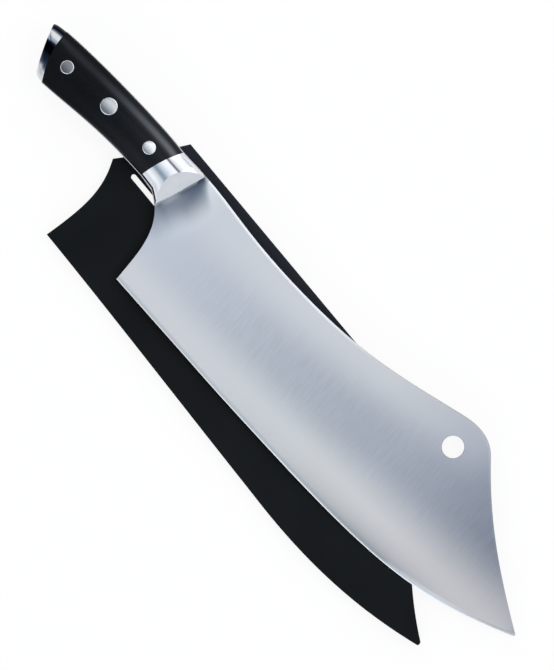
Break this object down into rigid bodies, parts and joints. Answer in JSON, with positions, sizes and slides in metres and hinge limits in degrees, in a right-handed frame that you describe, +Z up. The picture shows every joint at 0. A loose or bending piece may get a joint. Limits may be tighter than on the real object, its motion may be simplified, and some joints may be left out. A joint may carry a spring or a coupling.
{
  "type": "cleaver",
  "caption": "Long chef's cleaver with a humped, pierced blade, polished bolster and riveted black handle, lying on its flat black blade sheath.",
  "frame": {"origin": "on the floor under the front of the bolster, on the middle line of the handle", "axes": "+X along the straight edge from the handle to the tip, +Y from the edge to the spine, +Z up from the floor"},
  "size_m": [0.4364, 0.1234, 0.0307],
  "materials": {
    "blade_steel": "satin, ground across the blade",
    "polished_steel": "mirror polished",
    "handle_resin": "satin black",
    "rivet_steel": "ground flush, satin",
    "sheath_plastic": "matte near-black"
  },
  "bodies": {
    "sheath": {"sheath_back_plate": "sheath_plastic", "sheath_welt": "sheath_plastic", "sheath_front_plate": "sheath_plastic"},
    "knife": {"blade": "blade_steel", "bolster_right": "polished_steel", "bolster_left": "polished_steel", "scale_right": "handle_resin", "scale_left": "handle_resin", "end_cap": "polished_steel", "rear_rivet_stud": "rivet_steel", "rear_rivet_socket": "rivet_steel", "middle_rivet_stud": "rivet_steel", "middle_rivet_socket": "rivet_steel", "front_rivet_stud": "rivet_steel", "front_rivet_socket": "rivet_steel"}
  },
  "joints": [
    {"name": "knife_lift", "type": "slide", "parent": "sheath", "child": "knife", "axis": [0, 0, 1], "range_m": [0, 0.08]}
  ]
}
